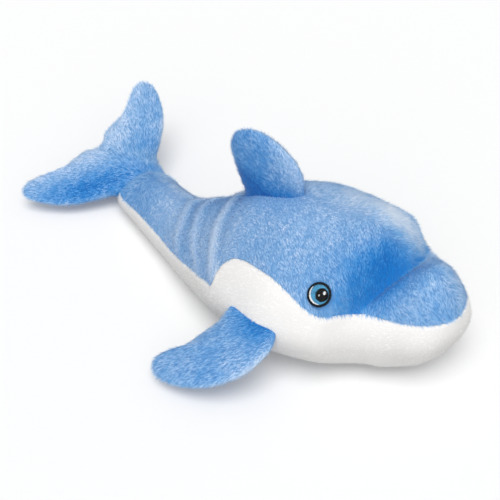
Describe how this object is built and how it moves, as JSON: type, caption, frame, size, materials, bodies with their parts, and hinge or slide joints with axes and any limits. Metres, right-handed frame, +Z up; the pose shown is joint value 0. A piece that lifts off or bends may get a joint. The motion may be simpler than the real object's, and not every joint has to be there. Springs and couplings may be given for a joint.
{
  "type": "plush dolphin",
  "caption": "Soft stuffed toy dolphin lying on its belly, blue back and fins, white belly, tail curved to one side, embroidered eyes.",
  "frame": {"origin": "under the middle of the toy's box, on the surface that its belly rests on", "axes": "+Z up; the head points to -Y, the dolphin's right side to -X and its left side to +X; the tail bends to +X"},
  "size_m": [0.1934, 0.2876, 0.1055],
  "materials": {
    "blue_plush": "short soft plush pile, sky blue",
    "white_plush": "short soft plush pile, warm white",
    "stuffing": "loose polyester fibre, white",
    "eye_thread": "satin stitched embroidery thread, black ring, blue iris"
  },
  "bodies": {
    "root": {"back_right": "blue_plush", "back_left": "blue_plush", "beak": "blue_plush", "belly": "white_plush", "body_stuffing": "stuffing", "dorsal_fin_left_face": "blue_plush", "dorsal_fin_right_face": "blue_plush", "dorsal_fin_stuffing": "stuffing", "right_flipper_upper_face": "blue_plush", "right_flipper_lower_face": "blue_plush", "right_flipper_stuffing": "stuffing", "left_flipper_upper_face": "blue_plush", "left_flipper_lower_face": "blue_plush", "left_flipper_stuffing": "stuffing", "fluke_upper_face": "blue_plush", "fluke_lower_face": "blue_plush", "fluke_stuffing": "stuffing", "right_eye": "eye_thread", "left_eye": "eye_thread"}
  },
  "joints": []
}
